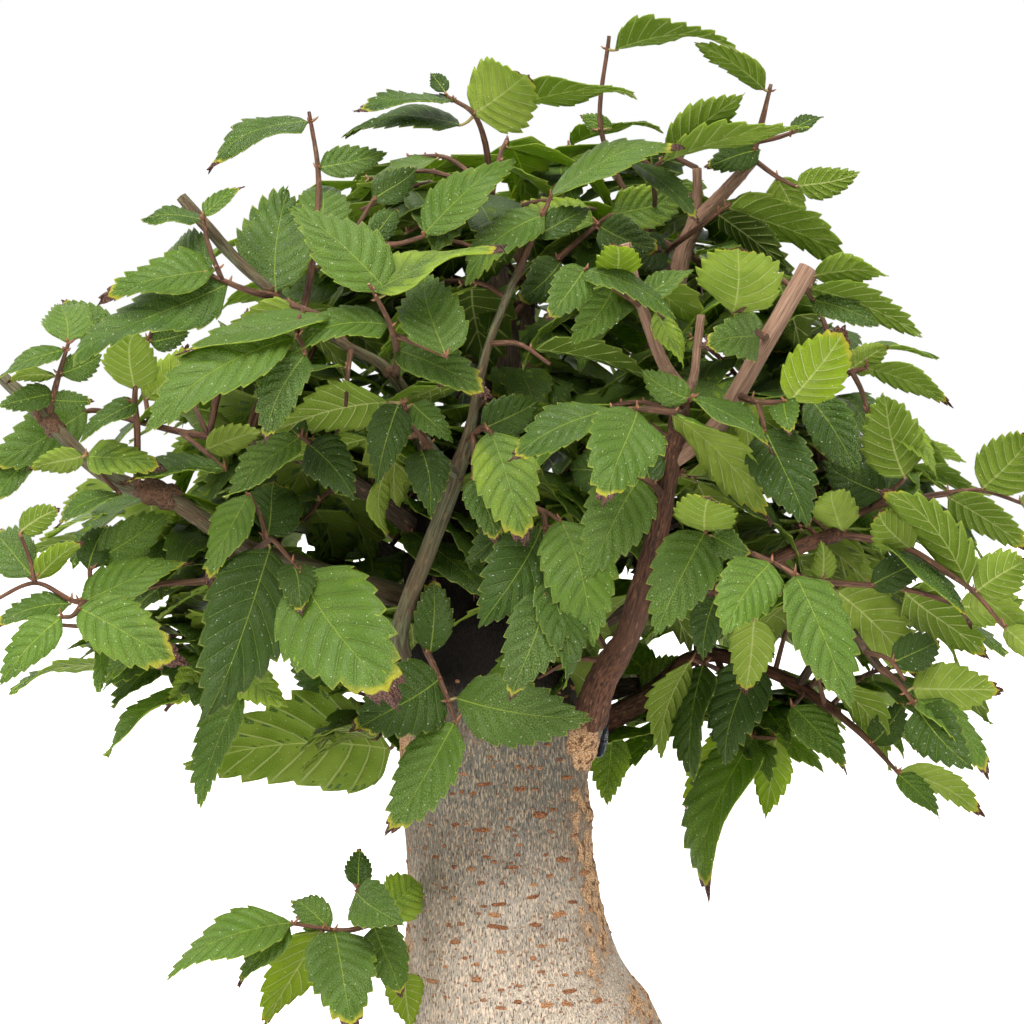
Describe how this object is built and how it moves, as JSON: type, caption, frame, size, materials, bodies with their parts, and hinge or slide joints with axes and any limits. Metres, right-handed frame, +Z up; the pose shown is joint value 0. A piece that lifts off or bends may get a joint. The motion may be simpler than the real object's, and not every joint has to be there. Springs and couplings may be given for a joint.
{
  "type": "japanese zelkova bonsai",
  "caption": "Broadleaf bonsai: grey lenticelled trunk with flared roots, cut-back boughs and a rounded crown of toothed leaves, in a plain oval footed pot.",
  "frame": {"origin": "centre of the outer box, at the level of the pot's feet", "axes": "+Z up the trunk, +X to the right as seen from the front, +Y towards the back"},
  "size_m": [0.334, 0.2409, 0.4711],
  "materials": {
    "pot_clay": "matt unglazed stoneware",
    "soil": "coarse granules",
    "drain_mesh": "matt",
    "bark": "grey bark with rust lenticels",
    "sealant": "glossy blue-black",
    "leaf": "soft sheen, quilted",
    "leaf_light": "soft sheen, quilted",
    "leaf_dark": "soft sheen, quilted"
  },
  "bodies": {
    "root": {"pot": "pot_clay", "soil": "soil", "drain_mesh_left": "drain_mesh", "drain_mesh_right": "drain_mesh", "wood": "bark", "wound_sealant": "sealant", "spray_crown_left": "leaf", "spray_crown_right_front": "leaf", "spray_crown_right": "leaf", "spray_crown_inner": "leaf_light", "spray_centre_top": "leaf", "spray_left_high_tip": "leaf", "spray_left_high_up": "leaf", "spray_left_high_stub": "leaf", "spray_left_high_low": "leaf", "spray_centre_left": "leaf", "spray_left_back": "leaf", "spray_left_inner": "leaf", "spray_left_tip": "leaf", "spray_left_mid": "leaf", "spray_left_spur": "leaf_light", "spray_left_low": "leaf", "spray_left_hanging": "leaf", "spray_hero": "leaf_dark", "spray_front_low": "leaf_dark", "spray_centre_a": "leaf_light", "spray_centre_b": "leaf", "spray_right_front_left": "leaf", "spray_right_front_inner": "leaf", "spray_right_stub": "leaf_light", "spray_right_cut_up": "leaf", "spray_right_cut_low": "leaf_light", "spray_right_top": "leaf", "spray_leader_front": "leaf", "spray_right_high": "leaf", "spray_right_far_high": "leaf", "spray_right_far": "leaf", "spray_right_mid_low": "leaf", "spray_right_low": "leaf", "spray_rear_tip": "leaf", "spray_rear_hanging": "leaf_dark", "spray_rear_inner": "leaf_light", "spray_right_mid_front": "leaf", "spray_back_big": "leaf_light", "spray_low_left": "leaf", "spray_hidden_1": "leaf", "spray_hidden_2": "leaf", "spray_hidden_3": "leaf", "spray_hidden_4": "leaf", "spray_hidden_5": "leaf", "spray_hidden_6": "leaf", "spray_hidden_7": "leaf", "spray_hidden_8": "leaf", "spray_hidden_9": "leaf", "spray_hidden_10": "leaf", "spray_hidden_11": "leaf", "spray_hidden_12": "leaf", "spray_hidden_13": "leaf"}
  },
  "joints": []
}
